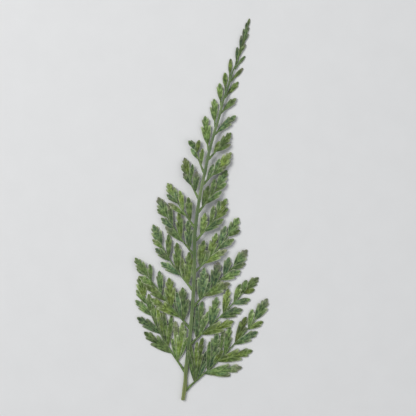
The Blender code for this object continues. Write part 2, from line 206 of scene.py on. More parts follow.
def make_piece(name, bm, materials):
    """Turn a millimetre bmesh into a piece in the frame that stands for the CAD node."""
    bmesh.ops.recalc_face_normals(bm, faces=bm.faces)
    bmesh.ops.scale(bm, vec=(MM, MM, MM), verts=bm.verts)
    bmesh.ops.translate(bm, vec=FRAME_SHIFT, verts=bm.verts)
    mesh = bpy.data.meshes.new(name + "_skin")
    bm.to_mesh(mesh)
    bm.free()
    mesh.shade_smooth()
    mesh.set_sharp_from_angle(angle=math.radians(SHARP_ANGLE))
    for material in materials:
        mesh.materials.append(material)
    piece = bpy.data.objects.new(name + "_skin", mesh)
    bpy.context.collection.objects.link(piece)
    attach(piece, "root")
    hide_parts(name)


class Finish:
    """A material under construction: adds shader nodes and links them as they are made."""

    def __init__(self, name):
        self.material = bpy.data.materials.new(name)
        self.material.use_nodes = True
        self.nodes = self.material.node_tree.nodes
        self.links = self.material.node_tree.links
        self.shader = self.nodes["Principled BSDF"]

    def put(self, value, socket):
        """Link an output to a socket, or set the socket to a plain value."""
        if isinstance(value, bpy.types.NodeSocket):
            self.links.new(value, socket)
        else:
            socket.default_value = value

    def noise(self, coords, scale, detail=3.0, rough=0.55):
        """A cloudy value from 0 to 1: scale is about how many clouds there are in a metre."""
        node = self.nodes.new("ShaderNodeTexNoise")
        self.put(coords, node.inputs["Vector"])
        node.inputs["Scale"].default_value = scale
        node.inputs["Detail"].default_value = detail
        node.inputs["Roughness"].default_value = rough
        return node.outputs["Fac"]

    def math(self, operation, a, b=0.0, c=0.0):
        node = self.nodes.new("ShaderNodeMath")
        node.operation = operation
        for value, socket in zip((a, b, c), node.inputs):
            self.put(value, socket)
        return node.outputs[0]

    def ramp(self, value, low, high, from_value=0.0, to_value=1.0):
        """A smooth step of a value between two limits."""
        node = self.nodes.new("ShaderNodeMapRange")
        node.interpolation_type = "SMOOTHSTEP"
        for given, socket in zip((value, low, high, from_value, to_value), node.inputs):
            self.put(given, socket)
        return node.outputs[0]

    def mix(self, share, a, b):
        """Blend two colours by a share."""
        node = self.nodes.new("ShaderNodeMix")
        node.data_type = "RGBA"
        self.put(share, node.inputs[0])
        self.put(a if isinstance(a, bpy.types.NodeSocket) else (*a, 1.0), node.inputs[6])
        self.put(b if isinstance(b, bpy.types.NodeSocket) else (*b, 1.0), node.inputs[7])
        return node.outputs[2]

    def stored(self, name):
        """The red, green and blue of a colour stored on the mesh, as three numbers."""
        node = self.nodes.new("ShaderNodeAttribute")
        node.attribute_name = name
        split = self.nodes.new("ShaderNodeSeparateColor")
        self.links.new(node.outputs["Color"], split.inputs[0])
        return split.outputs[0], split.outputs[1], split.outputs[2]

    def object_coords(self, stretch=(1.0, 1.0, 1.0)):
        node = self.nodes.new("ShaderNodeTexCoord")
        mapping = self.nodes.new("ShaderNodeMapping")
        mapping.inputs["Scale"].default_value = stretch
        self.links.new(node.outputs["Object"], mapping.inputs["Vector"])
        return mapping.outputs[0]

    def bump(self, height, distance, strength, below=None):
        """A relief that is distance metres high, over the relief below it."""
        node = self.nodes.new("ShaderNodeBump")
        node.inputs["Strength"].default_value = strength
        node.inputs["Distance"].default_value = distance
        self.put(height, node.inputs["Height"])
        if below is not None:
            self.put(below, node.inputs["Normal"])
        return node.outputs[0]


# Colours are linear red, green and blue
STALK_GREEN = (0.094, 0.158, 0.050)
STALK_PALE = (0.215, 0.290, 0.115)
STALK_FOOT = (0.250, 0.285, 0.085)
# Dark green of the fibres, also used as painted shade in the stalk's groove
STALK_FIBRE_AND_GROOVE_SHADE = (0.038, 0.066, 0.016)
STALK_BROWN = (0.11, 0.075, 0.035)
CUT_FLESH = (0.42, 0.46, 0.22)
CUT_FIBRE = (0.20, 0.19, 0.08)
FIBRE_SCALE = 5200.0
# Along the stalk there are this few fibres for each one across it
FIBRE_STRETCH = (1.0, 0.035, 1.0)
FIBRE_HEIGHT = 0.00012
CUT_SPOT_SCALE = 2600.0
CUT_SPOT_HEIGHT = 0.0001


def stalk_finish():
    """Green skin with lengthwise fibres, painted shade in the groove, a paler foot and a few brown
    flecks.
    """
    finish = Finish("stalk green")
    coords = finish.object_coords()
    fibres = finish.noise(finish.object_coords(FIBRE_STRETCH), FIBRE_SCALE, 4.0, 0.6)
    cloud = finish.noise(coords, 90.0, 2.0)
    foot = finish.stored("tint")[2]
    groove = finish.stored("place")[1]
    green = finish.mix(finish.ramp(cloud, 0.35, 0.7), STALK_GREEN, STALK_PALE)
    green = finish.mix(finish.ramp(foot, 0.0, 0.8, 0.0, 0.9), green, STALK_FOOT)
    green = finish.mix(finish.ramp(fibres, 0.42, 0.62, 0.28, 0.0), green, STALK_FIBRE_AND_GROOVE_SHADE)
    # painted shade in the groove, deepest where it is sunk furthest
    green = finish.mix(finish.ramp(groove, 0.3, 0.95, 0.0, 0.55), green, STALK_FIBRE_AND_GROOVE_SHADE)
    flecks = finish.ramp(finish.noise(coords, 700.0, 2.0, 0.7), 0.66, 0.72, 0.0, 0.55)
    green = finish.mix(flecks, green, STALK_BROWN)
    finish.put(green, finish.shader.inputs["Base Color"])
    finish.put(finish.ramp(fibres, 0.3, 0.7, 0.52, 0.38), finish.shader.inputs["Roughness"])
    finish.shader.inputs["Specular IOR Level"].default_value = 0.45
    finish.put(finish.bump(fibres, FIBRE_HEIGHT, 0.8), finish.shader.inputs["Normal"])
    return finish.material


def cut_finish():
    """The cut face: pale wet flesh with darker ends of fibres in it."""
    finish = Finish("cut stalk flesh")
    coords = finish.object_coords()
    spots = finish.ramp(finish.noise(coords, CUT_SPOT_SCALE, 3.0, 0.6), 0.5, 0.66)
    finish.put(finish.mix(spots, CUT_FLESH, CUT_FIBRE), finish.shader.inputs["Base Color"])
    finish.shader.inputs["Roughness"].default_value = 0.35
    finish.put(finish.bump(spots, CUT_SPOT_HEIGHT, 0.6), finish.shader.inputs["Normal"])
    return finish.material


def build_stalk():
    """The grooved rod from the cut end up into the tip, and the face of its cut."""
    bm = start_mesh()
    steps = round((STALK_TOP_Y - CUT_END_Y) / RING_STEP)
    stations = []
    for i in range(steps + 1):
        y = CUT_END_Y + (STALK_TOP_Y - CUT_END_Y) * i / steps
        near_joint = min(abs(y - joint) for joint in JOINT_YS)
        swelling = 1 + STALK_SWELLING * math.exp(-(near_joint / STALK_SWELLING_REACH) ** 2)
        radius = (SKIN_RADIUS + SKIN_RADIUS_GAIN * stalk_fraction(y)) * stalk_radius(y)
        radius *= min(1.0, SKIN_END_SHARE + (STALK_TOP_Y - y) / SKIN_END_LENGTH)
        along = Vector((0, 1, 0))
        if i:
            along = stalk_point(y + DIRECTION_REACH) - stalk_point(y - DIRECTION_REACH)
        groove = STALK_GROOVE_DEPTH if i else FOOT_GROOVE_DEPTH
        height = radius * (STALK_FLATNESS if i else FOOT_FLATNESS)
        stations.append((stalk_point(y), along, radius * swelling, height, groove))
    cut_face = rod(bm, stations, STALK_TINT)[0]
    tint_layer = bm.verts.layers.float_color["tint"]
    for vert in bm.verts:
        fade = max(0.0, 1 - (vert.co.y - CUT_END_Y) / FOOT_FADE_LENGTH)
        vert[tint_layer] = (*STALK_TINT[:2], fade, 1.0)
        vert.co.z = max(vert.co.z, STALK_LOWEST_Z)
    rim = bmesh.ops.inset_region(bm, faces=[cut_face], thickness=CUT_RIM, depth=-CUT_DEPTH)
    cut_face.material_index = 1
    for face in rim["faces"]:
        face.material_index = 0
    make_piece("stalk", bm, [stalk_finish(), cut_finish()])


build_stalk()


# --- Side branches ---------------------------------------------------------------------------
# Each branch (a pinna) is a narrow, grooved rib that carries wedge-shaped leaflets, alternately
# towards the tip and towards the foot. Leaflets are thin blades, toothed at their broad end, with
# one vein to each tooth. The lower branches are the largest and droop to the table.

# A pinna leaves the stalk at stalk_y. Its rib leans away from the stalk's direction (+Y) by
# lean_base at its foot and lean_tip at its end. low is the height of its tip, where it is held
# off the table by the pinna below it.
Pinna = namedtuple("Pinna", "stalk_y length lean_base lean_tip leaflets low", defaults=[None])

# A leaflet grows at a place along the rib and leans from the rib: away from the stalk's tip when
# positive, towards it when negative. lift raises its end above the rib, and cut deepens the
# notches between its lobes.
# hue goes from 0, blue green, to 1, yellow green, and age turns the leaflet's end dry and pale;
# where they are left out the leaflet takes a chance value.
Leaflet = namedtuple(
    "Leaflet", "place lean length width teeth lift cut hue age", defaults=[0.0, 1.0, None, None]
)

RIGHT_PINNAE = [
    Pinna(-107.6, 73, 51.5, 35, [
        Leaflet(6, -62, 20.0, 2.4, 1, 2.4, hue=0.6),
        Leaflet(6, -55, 23.2, 2.7, 1, 1.8, hue=0.8),
        Leaflet(6.2, -47, 24.4, 3.2, 2, 1.4, hue=0.7),
        Leaflet(6.5, -41, 27, 5.2, 4, 1.0, cut=1.6, hue=0.75),
        Leaflet(9, -32, 18, 5.0, 4, hue=0.1),
        Leaflet(14, 34, 22.8, 7.2, 5, cut=2.0, hue=0.3),
        Leaflet(15, 48.5, 14.8, 2.8, 1, hue=0.8),
        Leaflet(16.4, -43, 17.6, 2.6, 1, hue=0.5),
        Leaflet(16.8, -32, 23.0, 8.4, 5),
        Leaflet(20, -14.5, 12, 3.2, 1, hue=0.9),
        Leaflet(24.7, 27, 22, 7.4, 5, hue=0.95, age=0.0),
        Leaflet(24.8, -34, 18.2, 3.2, 2, -0.3, hue=0.6),
        Leaflet(30.6, -33, 17.2, 5.4, 4, -0.6),
        Leaflet(39, 21, 16, 5.6, 4),
        Leaflet(40, -21, 17, 5.6, 4),
        Leaflet(51, 25, 10.5, 4.2, 2),
        Leaflet(52, -28, 11.5, 4.2, 2, hue=0.4),
        Leaflet(58.5, -8.5, 14.5, 6.9, 5, age=0.5),
    ]),
    Pinna(-80.3, 57, 50.5, 38, [
        Leaflet(4.3, -57, 12.7, 2.2, 1),
        Leaflet(4.5, -49.5, 20.0, 2.6, 1, 0.4),
        Leaflet(4.3, -40, 22.5, 5.9, 4, cut=1.6),
        Leaflet(6, -28, 16.3, 4.4, 3),
        Leaflet(8, 20, 21, 7.2, 5, 0.5, hue=1.0, age=0.0),
        Leaflet(15.3, -33.5, 18, 6.8, 5, hue=0.15),
        Leaflet(23, 25, 14.6, 6.0, 4),
        Leaflet(26.3, -33, 15, 5.4, 4),
        Leaflet(34.2, 32, 11, 4.6, 2),
        Leaflet(35.4, -25, 11.7, 4.4, 2),
        Leaflet(42, -21, 9, 3.4, 1),
        Leaflet(43, 32, 7.6, 3.2, 1),
        Leaflet(46, 9, 10.4, 5.4, 4, age=0.3),
    ]),
    Pinna(-57.2, 46, 48, 42, [
        Leaflet(4.5, -55, 12, 2.2, 1),
        Leaflet(4.5, -39, 19.4, 6.8, 5, cut=1.4, hue=0.15),
        Leaflet(6.5, -33, 14.5, 2.8, 1),
        Leaflet(6.5, -18, 10.4, 3.0, 1),
        Leaflet(7.5, 16, 17.6, 6.7, 4, hue=0.85),
        Leaflet(14.6, -32, 16, 6.4, 5, hue=0.1),
        Leaflet(21.7, 23, 13, 5.6, 4),
        Leaflet(24.4, -29, 12, 4.8, 3),
        Leaflet(30, 23, 9.8, 3.8, 2),
        Leaflet(33, -3, 12.6, 6.4, 5, hue=0.2, age=0.9),
    ]),
    Pinna(-36.5, 41, 50, 30, [
        Leaflet(3.2, -55, 10.5, 2.2, 1),
        Leaflet(3.2, -41, 16, 5.6, 4, cut=1.3),
        Leaflet(5, -20, 9.4, 3.0, 1),
        Leaflet(6.2, 15, 16, 5.2, 4),
        Leaflet(10, -27, 16.2, 5.6, 5),
        Leaflet(18, 19, 11.6, 4.4, 3),
        Leaflet(18.9, -22, 13.8, 4.4, 3),
        Leaflet(27.8, 26, 8.2, 3.4, 2),
        Leaflet(28.5, -5, 12.2, 6.2, 5),
    ]),
    Pinna(-18.2, 30.5, 47, 28, [
        Leaflet(3.9, -32, 13.4, 5.0, 4),
        Leaflet(6.8, 15, 13.7, 4.8, 4, hue=0.1),
        Leaflet(11.9, -27, 11.8, 3.6, 2),
        Leaflet(16, 17, 10.7, 3.8, 2),
        Leaflet(18.7, -6, 12, 4.8, 4),
        Leaflet(19.4, -27, 8.5, 2.5, 1),
    ]),
    Pinna(-1.1, 30, 43, 27, [
        Leaflet(3, -24, 13.2, 4.8, 3),
        Leaflet(5.5, 14, 12.4, 3.8, 2),
        Leaflet(10.4, -25, 11.6, 3.8, 2),
        Leaflet(14.8, 21, 8.7, 2.8, 1),
        Leaflet(17.5, -4, 12.2, 5.4, 5, -0.5),
    ]),
    Pinna(15.2, 25, 46, 38, [
        Leaflet(2.8, -24, 10.3, 3.4, 2),
        Leaflet(7, 17, 9.9, 3.2, 2),
        Leaflet(8.7, -23, 9.2, 3.0, 2),
        Leaflet(13, -2, 12, 5.8, 5),
        Leaflet(13.4, 22, 7.4, 2.6, 1),
    ]),
    Pinna(30.1, 20.5, 46, 36, [
        Leaflet(4.3, -21, 8, 3.4, 2),
        Leaflet(5.7, 19, 10, 2.5, 1),
        Leaflet(8.7, -2, 11.8, 5.4, 5),
    ]),
    Pinna(45.0, 4, 49, 49, [Leaflet(1.2, 0, 15.2, 5.0, 4)]),
    Pinna(57.7, 3.5, 45, 45, [Leaflet(1.6, 0, 10.8, 4.0, 3, age=0.3)]),
    Pinna(67.0, 4, 41, 41, [Leaflet(1.8, 0, 10.3, 3.5, 3)]),
    Pinna(76.7, 4, 45, 45, [Leaflet(1.6, 0, 9.0, 2.1, 1, hue=0.9, age=0.9)]),
    Pinna(84.2, 4, 39, 38, [Leaflet(1.8, 0, 7.8, 1.7, 1)]),
]

LEFT_PINNAE = [
    Pinna(-96.4, 59, 38, 16, [
        Leaflet(6.2, -20, 14.2, 2.6, 1, hue=0.6),
        Leaflet(6.2, -32, 24.4, 3.4, 2, 0.2, hue=0.8),
        Leaflet(6.3, -42.5, 23.8, 5.4, 4, 0.4, cut=1.9, hue=0.7),
        Leaflet(6.5, -58, 15.5, 2.6, 1, 0.6, hue=0.5),
        Leaflet(6.4, -51, 20.5, 2.6, 1, 0.5, hue=0.6),
        Leaflet(12.3, 21, 21, 7.2, 5, cut=1.4, hue=0.55),
        Leaflet(17, -37, 19, 4.5, 4, cut=1.6, hue=0.7),
        Leaflet(18, -25, 20.3, 2.7, 1, hue=0.6),
        Leaflet(21.5, -22.5, 16.7, 4.3, 3, cut=2.0, hue=0.75),
        Leaflet(24.5, -20, 18.6, 2.6, 1, hue=0.7),
        Leaflet(26, 26, 17, 6.0, 5, hue=0.05),
        Leaflet(31, -15, 13.5, 4.2, 3, -0.3, hue=0.6),
        Leaflet(38, 24, 13.3, 5.0, 4),
        Leaflet(40, -18, 11.2, 4.0, 3, -0.5),
        Leaflet(45.5, 16, 10.5, 3.8, 3, age=0.2),
        Leaflet(49.5, -6, 13.5, 6.0, 5, -0.5),
    ]),
    Pinna(-70.6, 52, 43, 32.5, [
        Leaflet(5, -57, 12.8, 2.5, 1),
        Leaflet(5, -42, 20, 7.2, 5, cut=1.4),
        Leaflet(7, -32, 16, 2.9, 1),
        Leaflet(7, -20, 10.5, 2.6, 1),
        Leaflet(7.7, 15, 21.3, 6.6, 5, hue=0.9),
        Leaflet(16, -35.5, 17.6, 7.2, 5),
        Leaflet(17.5, -17, 9, 2.6, 1),
        Leaflet(20.8, 16, 15.6, 5.4, 4, hue=0.8),
        Leaflet(25.8, -33, 14, 4.4, 3),
        Leaflet(32, 23, 10.8, 4.6, 3),
        Leaflet(35.9, -33, 9.9, 3.4, 2),
        Leaflet(40, 24, 7.2, 2.8, 1),
        Leaflet(39.5, -2, 13, 5.6, 5),
    ], 2.1),
    Pinna(-47.4, 44, 43.5, 22, [
        Leaflet(3.5, -54, 12, 2.4, 1),
        Leaflet(3.5, -43, 19.2, 6.0, 4, cut=1.5),
        Leaflet(5.3, -31, 15.0, 3.0, 1),
        Leaflet(5.5, -22, 11.0, 2.4, 1),
        Leaflet(10.6, 19, 14, 5.2, 4, hue=0.0),
        Leaflet(13, -35.5, 17.4, 5.4, 4),
        Leaflet(21, 19, 11.6, 4.8, 4),
        Leaflet(22.9, -34, 14.2, 4.1, 3),
        Leaflet(29.8, 21, 8, 3.6, 3),
        Leaflet(31.8, -8, 13.2, 6.4, 5),
    ]),
    Pinna(-26.3, 38.7, 43, 21.5, [
        Leaflet(3.1, -39, 17.2, 5.8, 5, cut=1.4),
        Leaflet(8.7, 13, 14.2, 4.8, 3, age=0.5),
        Leaflet(11.3, -32, 15.8, 5.0, 4),
        Leaflet(17.3, 16, 11.2, 4.0, 3),
        Leaflet(20.2, -23, 13.3, 3.8, 2),
        Leaflet(26.6, 25, 7.6, 3.2, 2),
        Leaflet(26.8, -3, 12.8, 6.2, 5, age=0.5),
    ]),
    Pinna(-10.2, 30, 40, 24, [
        Leaflet(3.9, -33, 14.2, 4.8, 3),
        Leaflet(7.7, 19, 13.2, 3.6, 2, age=0.5),
        Leaflet(10.8, -26, 12.8, 3.8, 3),
        Leaflet(17, 24, 8.4, 3.4, 2),
        Leaflet(17.5, -23, 8, 2.2, 1),
        Leaflet(19.6, -4, 10.8, 5.6, 5),
    ]),
    Pinna(6.8, 25.5, 32, 6, [
        Leaflet(3.8, -32, 12.4, 4.4, 3),
        Leaflet(8.2, 13, 9, 3.3, 3),
        Leaflet(10.5, -30, 10.6, 3.2, 2),
        Leaflet(14, 16, 7.8, 3.0, 2),
        Leaflet(15, -6, 10.5, 4.9, 4, age=0.4),
    ]),
    Pinna(22.0, 16, 24, 17, [
        Leaflet(4.3, -28, 10.2, 3.2, 2),
        Leaflet(8.2, 15, 8, 2.5, 1),
        Leaflet(12, -30, 8.2, 2.8, 1),
        Leaflet(12, 2, 8.6, 3.6, 3),
        Leaflet(15.4, 24, 5.6, 2.6, 1, 0.9, hue=0.4),
    ]),
    Pinna(35.0, 5.5, 9, 5, [Leaflet(3.4, 0, 17.4, 6.3, 5)]),
    Pinna(49.0, 5.5, 4, 2, [Leaflet(3.4, 0, 13.6, 5.1, 4)]),
    Pinna(61.8, 5, 5, 3, [Leaflet(3.2, 0, 10.4, 4.1, 3)]),
    Pinna(70.2, 4.5, 2, 1, [Leaflet(2.4, 0, 9.1, 2.7, 1, hue=0.9)]),
    Pinna(77.4, 5, -3, -5, [Leaflet(3.0, 0, 9.6, 2.2, 1, hue=0.8, age=0.3)]),
]

# A rib droops by this share of its pinna's length, slowly at first, but no lower than this
DROOP = 0.12
DROOP_POWER = 1.5
LOWEST_RIB_Z = 0.6

RIB_HALF_WIDTH = 0.62
RIB_TIP_HALF_WIDTH = 0.3
RIB_TAPER_POWER = 0.7
RIB_FLATNESS = 0.52
RIB_GROOVE_DEPTH = 0.3
RIB_STEP = 1.2
# How far ahead of a point the rib's direction there is taken from
RIB_LOOK_AHEAD = 0.2
RIB_TINT = (0.4, 0.45, 0.0, 1.0)
# The rib starts inside the stalk, this share of the way from its skin to its centre
RIB_ROOT = 0.5
# The rib runs into the end leaflet for this share of the leaflet's length
RIB_REACH = 0.35
# The rib's foot is thicker and sweeps down along the stalk
RIB_FLARE = 0.55
RIB_SWEEP = 0.95
# It sweeps this much as far inwards as down
RIB_INWARD_SWEEP = 0.3
# The rib's foot is no wider than this share of the stalk's radius there, and widens this fast
RIB_FOOT_SHARE = 0.75
RIB_FOOT_GAIN = 0.25
RIB_FOOT_LENGTH = 2.4

BLADE_THICKNESS = 0.2
BLADE_ROWS = 3
CURVE_STEPS = 2
# The drawn blades are this much wider than the widths in the tables
FULLNESS = 1.12

# A leaflet without lobes is a blunt finger. Its margin: share of the length, share of the half
# width, tooth coordinate
FINGER_MARGIN = ((0.18, 0.58, 0.55), (0.4, 0.93, 0.6), (0.6, 1.0, 0.7), (0.8, 0.8, 0.8))
FINGER_FOOT_HALF_WIDTH = 0.34
FINGER_FOOT_SHARE = 0.4
FINGER_END_BACK = 0.22
FINGER_END_SHARE = 0.4

# Where a side's lobes stand, from the midrib at 0 to the margin at 1, by their number
LOBE_SPREADS = {0: [], 1: [0.6], 2: [0.8, 0.46]}
# How far the outer lobes stand back from the leaflet's end, as a share of its length
LOBE_FALL = 0.5
LOBE_FALL_POWER = 1.74
# A lobe's half width as a share of the leaflet's width, by the number of lobes on its side
LOBE_HALF_WIDTH = {0: 0.26, 1: 0.19, 2: 0.13}
END_LOBE_HALF_WIDTH = {0: 0.32, 1: 0.28, 2: 0.19}
LEAST_LOBE_HALF_WIDTH = 0.45
# How far inside the leaflet's widest place a lobe's end is, in its own half widths
LOBE_INSET = 0.85
LOBE_SPREAD_POWER = 0.85
# Degrees by which a side lobe turns outwards, and the gain for one at the margin
LOBE_TURN = 11
LOBE_TURN_GAIN = 15
# The round of a lobe: how far back from its end, how far out, and the change of tooth
# coordinate, with lengths in half widths of the lobe
LOBE_ROUND = (
    (1.5, 0.96, -0.3), (0.42, 0.72, -0.12), (0.0, 0.0, 0.0), (0.36, -0.7, 0.12), (0.9, -0.96, 0.3),
)
END_LOBE_ROUND = ((1.4, 0.92, -0.3), (0.46, 0.56, -0.12), (0.0, 0.0, 0.0))
# A notch's depth as a share of the leaflet's length, and more for the outer ones; it is at
# least this many half widths of its lobe
NOTCH_DEPTH = 0.024
NOTCH_DEPTH_GAIN = 0.064
LEAST_NOTCH = 1.15
# A notch leaves this share of the end lobe's half width as its neck
NECK_SHARE = 0.78
# How much chance moves a lobe along and across, and changes the depth of its notch
LOBE_ALONG_CHANCE = 0.035
LOBE_ACROSS_CHANCE = 0.06
NOTCH_CHANCE = 0.25
# The wedge from the foot to the first lobe: its points, its foot, and how its edge bulges
WEDGE_POINTS = 4
WEDGE_FOOT_HALF_WIDTH = 0.4
WEDGE_FOOT_SHARE = 0.14
WEDGE_POWER = 0.88
WEDGE_BULGE = 0.15
# Its tooth coordinate, which gains a little towards the first lobe
WEDGE_TOOTH = 0.64
WEDGE_TOOTH_GAIN = 0.06
# The edge of a side without lobes: its width, and how much of a half wave it follows
PLAIN_SIDE_SHARE = 0.72
PLAIN_SIDE_WAVE = 0.62

# How far a vein runs forwards for each millimetre that it runs outwards
VEIN_SLANT = 1.9
# How leaflets differ from each other by chance: tip up or down, tip sideways, arch, cup, bend
PITCH_CHANCE = 0.012
ROLL_CHANCE = 0.1
ARCH = 0.018
ARCH_CHANCE = 0.6
CUP = -0.03
CUP_CHANCE = 0.05
BEND_CHANCE = 0.03
# Leaflets on the stalk's side of the rib lie a little over the others
LAYER_HEIGHT = 0.05
LIFT_POWER = 1.3
# The skin rises along each vein and sinks between them by this much
RIPPLE_HEIGHT = 0.05
LOWEST_BLADE_Z = 0.32
MERGE_DISTANCE = 0.004


def direction(lean, side):
    """The flat direction that leans from +Y towards the side (+1 right, -1 left)."""
    return Vector((side * math.sin(math.radians(lean)), math.cos(math.radians(lean)), 0))


def rib_lean(pinna, place):
    return pinna.lean_base + (pinna.lean_tip - pinna.lean_base) * place / pinna.length


def rib_point(pinna, start, side, place):
    """A point along the rib, which is an arc: a chord leans halfway between its two ends."""
    turn = math.radians(rib_lean(pinna, place) - pinna.lean_base) / 2
    chord = place * (math.sin(turn) / turn if turn else 1.0)
    return start + chord * direction(pinna.lean_base + math.degrees(turn), side)


def rib_height(pinna, foot_height, place):
    """The height of the rib over the table as it droops to its tip."""
    low = pinna.low
    if low is None:
        reach = pinna.length + pinna.leaflets[-1].length
        low = max(LOWEST_RIB_Z, foot_height - DROOP * reach)
    share = min(max(place / pinna.length, 0.0), 1.0)
    return max(foot_height + (low - foot_height) * share ** DROOP_POWER, LOWEST_RIB_Z)


def side_lobes(teeth):
    """How far from the midrib each side's lobes stand, outermost first, besides the end lobe."""
    return LOBE_SPREADS[teeth // 2], LOBE_SPREADS[(teeth - 1) // 2]


def finger_outline(leaflet, side):
    """Half the margin of a leaflet without lobes: a blunt finger."""
    length, half = leaflet.length, FULLNESS * leaflet.width / 2
    foot = (0.0, side * min(FINGER_FOOT_HALF_WIDTH, FINGER_FOOT_SHARE * half), 0.5)
    edge = [(along * length, side * out * half, tooth) for along, out, tooth in FINGER_MARGIN]
    end = (length - FINGER_END_BACK * half, side * FINGER_END_SHARE * half, 0.9)
    return [foot, *edge, end, (length, 0.0, 1.0)]


def half_outline(leaflet, side, spreads, points_wanted, jitter):
    """The margin of one half of a leaflet, from its foot over its lobes to its tip.

    Each point is (along, across, tooth); tooth is a whole number at the end of each lobe and a
    half number in each notch. A side with fewer lobes gets more points on its plain edge.
    """
    length, width = leaflet.length, FULLNESS * leaflet.width
    half = width / 2
    blunt = max(LOBE_HALF_WIDTH[len(spreads)] * width, LEAST_LOBE_HALF_WIDTH)
    end_blunt = max(END_LOBE_HALF_WIDTH[len(spreads)] * width, blunt)
    lobes = []
    for tooth, spread in enumerate(spreads, 1):
        fall = LOBE_FALL * spread ** LOBE_FALL_POWER
        tip_along = length * (1 - fall + LOBE_ALONG_CHANCE * jitter())
        tip_across = (half - LOBE_INSET * blunt) * (spread / spreads[0]) ** LOBE_SPREAD_POWER
        tip_across *= 1 + LOBE_ACROSS_CHANCE * jitter()
        turn = math.radians(LOBE_TURN + LOBE_TURN_GAIN * spread)
        lobe_way = Vector((math.cos(turn), math.sin(turn)))
        out_way = Vector((-lobe_way.y, lobe_way.x))
        tip = Vector((tip_along, tip_across))
        depth = leaflet.cut * length * (NOTCH_DEPTH + NOTCH_DEPTH_GAIN * spread)
        depth *= 1 + NOTCH_CHANCE * jitter()
        for back, out, mark in LOBE_ROUND:
            spot = tip - lobe_way * back * blunt + out_way * out * blunt
            lobes.append((*spot, tooth + mark))
        notch = tip - lobe_way * max(depth, LEAST_NOTCH * blunt) - out_way * blunt
        lobes.append((notch.x, max(notch.y, NECK_SHARE * end_blunt), tooth + 0.5))
    last = len(spreads) + 1
    end = [
        (length - back * end_blunt, out * end_blunt, last + mark)
        for back, out, mark in END_LOBE_ROUND
    ]
    foot = min(WEDGE_FOOT_HALF_WIDTH, WEDGE_FOOT_SHARE * width)
    first_lobe = (lobes + end)[0]
    wedge = points_wanted - len(lobes) - len(end)
    edge = []
    for i in range(wedge):
        share = i / wedge
        bulge = share ** WEDGE_POWER + WEDGE_BULGE * math.sin(math.pi * share)
        across = foot + (first_lobe[1] - foot) * bulge
        if not spreads:
            wave = math.sin(PLAIN_SIDE_WAVE * math.pi * share)
            across = foot + (PLAIN_SIDE_SHARE * half - foot) * wave
        tooth = WEDGE_TOOTH + WEDGE_TOOTH_GAIN * share
        edge.append((first_lobe[0] * share, across, tooth))
    return [(along, side * across, tooth) for along, across, tooth in edge + lobes + end]


def smooth_line(points, steps):
    """More points between the given ones, on a smooth curve through all of them."""
    flat = [Vector(point[:2]) for point in points]
    ways = []
    for i in range(len(flat)):
        ways.append((flat[min(i + 1, len(flat) - 1)] - flat[max(i - 1, 0)]).normalized())
    line = []
    for i in range(len(flat) - 1):
        gap = (flat[i + 1] - flat[i]).length
        for k in range(steps):
            t = k / steps
            spot = smooth_between(t, gap, flat[i], ways[i], flat[i + 1], ways[i + 1])
            line.append((spot.x, spot.y, points[i][2] + (points[i + 1][2] - points[i][2]) * t))
    return line + [points[-1]]


def margins_of(leaflet, jitter):
    """Both halves of a leaflet's margin, with the same number of points."""
    if leaflet.teeth == 1:
        return {side: smooth_line(finger_outline(leaflet, side), CURVE_STEPS) for side in (-1, 1)}
    broad, other = side_lobes(leaflet.teeth)
    wanted = WEDGE_POINTS + (len(LOBE_ROUND) + 1) * len(broad) + len(END_LOBE_ROUND)
    outlines = {}
    for side, spreads in ((-1, other), (1, broad)):
        outline = half_outline(leaflet, side, spreads, wanted, jitter)
        outlines[side] = smooth_line(outline, CURVE_STEPS)
    return outlines


